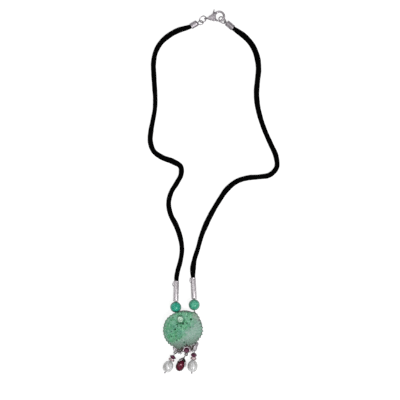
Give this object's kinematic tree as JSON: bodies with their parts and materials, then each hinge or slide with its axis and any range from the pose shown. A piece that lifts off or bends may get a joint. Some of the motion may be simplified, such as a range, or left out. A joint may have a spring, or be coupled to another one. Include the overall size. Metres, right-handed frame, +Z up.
{
  "type": "necklace",
  "caption": "Pendant necklace: carved domed jade disc on a silver frame with pearl and garnet drops, hung from two soft black cords with tube ends and a lobster clasp",
  "frame": {"origin": "on the table, under the middle of the box round all the pieces but the two soft cords", "axes": "+Y from the pendant's drops up to the clasp, +X to the viewer's right as pictured from above, +Z up from the table"},
  "size_m": [0.0839, 0.2331, 0.0108],
  "materials": {
    "cord_black": "soft braided cord, slightly satin",
    "silver": "worn polished silver, darker in the hollows",
    "jade": "waxy polished jade, green on the left and grey-green on the right",
    "green_stone": "polished blue-green stone",
    "garnet": "faceted dark wine-red garnet",
    "pink_stone": "pale pink polished stone",
    "pearl": "grey-white nacre"
  },
  "bodies": {
    "necklace": {"cord_left": "cord_black", "cord_right": "cord_black", "end_cap_left": "silver", "end_cap_right": "silver", "jump_ring_left": "silver", "jump_ring_right": "silver", "clasp_body": "silver", "tube_left": "silver", "tube_right": "silver", "bead_left": "green_stone", "bead_right": "green_stone", "bead_wire_left": "silver", "bead_wire_right": "silver", "jade": "jade", "stud": "silver", "pendant_frame": "silver", "centre_garnet": "garnet", "drop_pin_left": "silver", "garnet_rondelle_left": "garnet", "pink_rondelle_left": "pink_stone", "pearl_left": "pearl", "drop_pin_right": "silver", "garnet_rondelle_right": "garnet", "pink_rondelle_right": "pink_stone", "pearl_right": "pearl", "drop_cap": "silver", "garnet_drop": "garnet"},
    "lever": {"clasp_trigger": "silver"}
  },
  "joints": [
    {"name": "clasp_lever", "type": "hinge", "parent": "necklace", "child": "lever", "pos_m": [0.00914, 0.11128, 0.0015], "axis": [0, 0, 1], "range_deg": [0, 26], "stiffness_Nm_per_rad": 0.0004, "springref_deg": -11.46}
  ]
}
